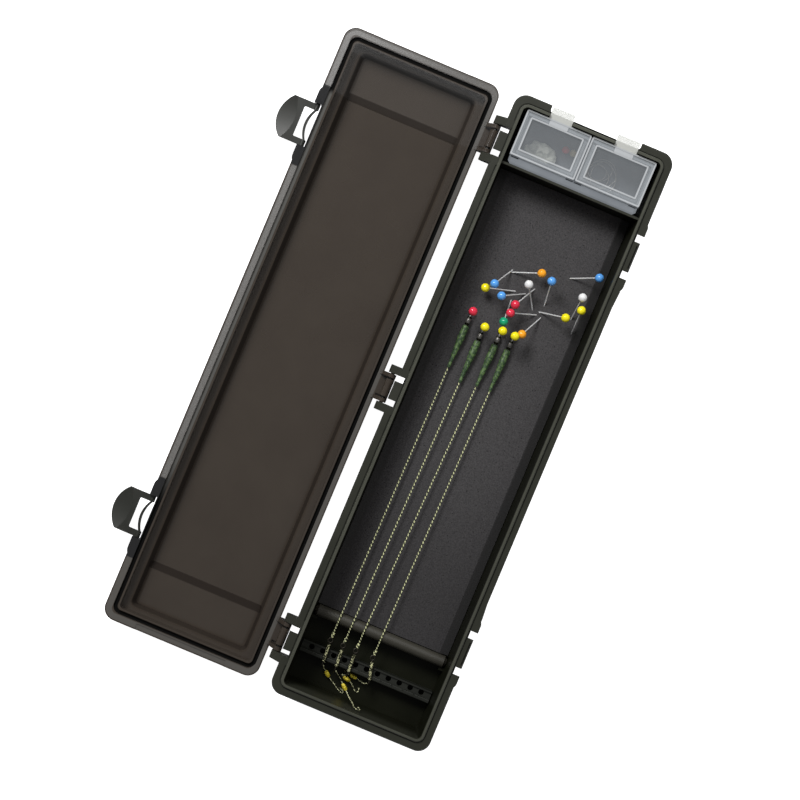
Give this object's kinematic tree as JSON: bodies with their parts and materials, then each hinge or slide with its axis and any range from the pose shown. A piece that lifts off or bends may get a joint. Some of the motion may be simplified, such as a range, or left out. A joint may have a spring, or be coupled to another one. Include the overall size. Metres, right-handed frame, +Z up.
{
  "type": "fishing rig box",
  "caption": "Long shallow hinged box for ready-tied fishing rigs, lying open, with foam, pins, a bar, a hook rack and a small lidded tackle box.",
  "frame": {"origin": "centre of the tub's flat underside", "axes": "+X away from the hinge side, +Y along the tub towards the small tackle box, +Z up"},
  "size_m": [0.2162, 0.36, 0.0335],
  "materials": {
    "tub_plastic": "satin moulded, very dark green",
    "black_plastic": "satin",
    "foam": "closed-cell foam, matt",
    "bar_plastic": "satin, dark grey-brown",
    "smoked_plastic": "smoked translucent, glossy",
    "black_rubber": "soft seal, matt",
    "latch_plastic": "smoked, glossy",
    "clear_plastic": "milky translucent",
    "bag_film": "thin soft film",
    "red_plastic": "glossy",
    "cream_plastic": "glossy",
    "clear_line": "clear nylon line",
    "dark_steel": "blackened",
    "green_rubber": "soft translucent green",
    "braid": "braided, flecked",
    "hook_steel": "dull coated",
    "hair_line": "braided",
    "bait": "matt",
    "pin_steel": "bright",
    "yellow_plastic": "glossy",
    "orange_plastic": "glossy",
    "blue_plastic": "glossy",
    "white_plastic": "glossy",
    "green_plastic": "glossy"
  },
  "bodies": {
    "tub": {"base_tub": "tub_plastic", "hinge_pins": "black_plastic", "foam_board": "foam", "rig_bar": "bar_plastic", "hook_rack": "tub_plastic", "swivels": "dark_steel", "sleeves": "green_rubber", "hooklinks": "braid", "hooks": "hook_steel", "short_hairs": "hair_line", "long_hair": "hair_line", "hook_baits": "bait", "long_hair_bait": "bait", "spare_needles": "pin_steel", "spare_heads_orange": "orange_plastic", "spare_heads_blue": "blue_plastic", "spare_heads_yellow": "yellow_plastic", "spare_heads_white": "white_plastic", "spare_heads_red": "red_plastic", "spare_heads_green": "green_plastic"},
    "lid": {"lid_shell": "smoked_plastic", "lid_seal": "black_rubber"},
    "front_latch": {"front_latch": "latch_plastic"},
    "rear_latch": {"rear_latch": "latch_plastic"},
    "tackle_box": {"small_tray": "clear_plastic", "bait_bag": "bag_film", "bead_red": "red_plastic", "bead_cream": "cream_plastic", "line_hank": "clear_line"},
    "left_small_lid": {"small_lid_left": "clear_plastic"},
    "right_small_lid": {"small_lid_right": "clear_plastic"},
    "rig_pin_1": {"rig_pin_1": "red_plastic"},
    "rig_pin_2": {"rig_pin_2": "yellow_plastic"},
    "rig_pin_3": {"rig_pin_3": "yellow_plastic"},
    "rig_pin_4": {"rig_pin_4": "yellow_plastic"}
  },
  "joints": [
    {"name": "lid_hinge", "type": "hinge", "parent": "tub", "child": "lid", "pos_m": [-0.0512, 0, 0.0247], "axis": [0, -1, 0], "range_deg": [-180, 0]},
    {"name": "front_latch_pivot", "type": "hinge", "parent": "lid", "child": "front_latch", "pos_m": [-0.1486, -0.1194, 0.0134], "axis": [0, -1, 0], "range_deg": [-90, 20]},
    {"name": "rear_latch_pivot", "type": "hinge", "parent": "lid", "child": "rear_latch", "pos_m": [-0.1486, 0.1194, 0.0134], "axis": [0, -1, 0], "range_deg": [-90, 20]},
    {"name": "tackle_box_lift", "type": "slide", "parent": "tub", "child": "tackle_box", "axis": [0, 0, 1], "range_m": [0, 0.04]},
    {"name": "left_small_lid_hinge", "type": "hinge", "parent": "tackle_box", "child": "left_small_lid", "pos_m": [-0.0195, 0.14625, 0.0305], "axis": [1, 0, 0], "range_deg": [0, 95]},
    {"name": "right_small_lid_hinge", "type": "hinge", "parent": "tackle_box", "child": "right_small_lid", "pos_m": [0.0195, 0.14625, 0.0305], "axis": [1, 0, 0], "range_deg": [0, 95]},
    {"name": "rig_pin_1_pull", "type": "slide", "parent": "tub", "child": "rig_pin_1", "axis": [0, 0, 1], "range_m": [0, 0.025]},
    {"name": "rig_pin_2_pull", "type": "slide", "parent": "tub", "child": "rig_pin_2", "axis": [0, 0, 1], "range_m": [0, 0.025]},
    {"name": "rig_pin_3_pull", "type": "slide", "parent": "tub", "child": "rig_pin_3", "axis": [0, 0, 1], "range_m": [0, 0.025]},
    {"name": "rig_pin_4_pull", "type": "slide", "parent": "tub", "child": "rig_pin_4", "axis": [0, 0, 1], "range_m": [0, 0.025]}
  ]
}
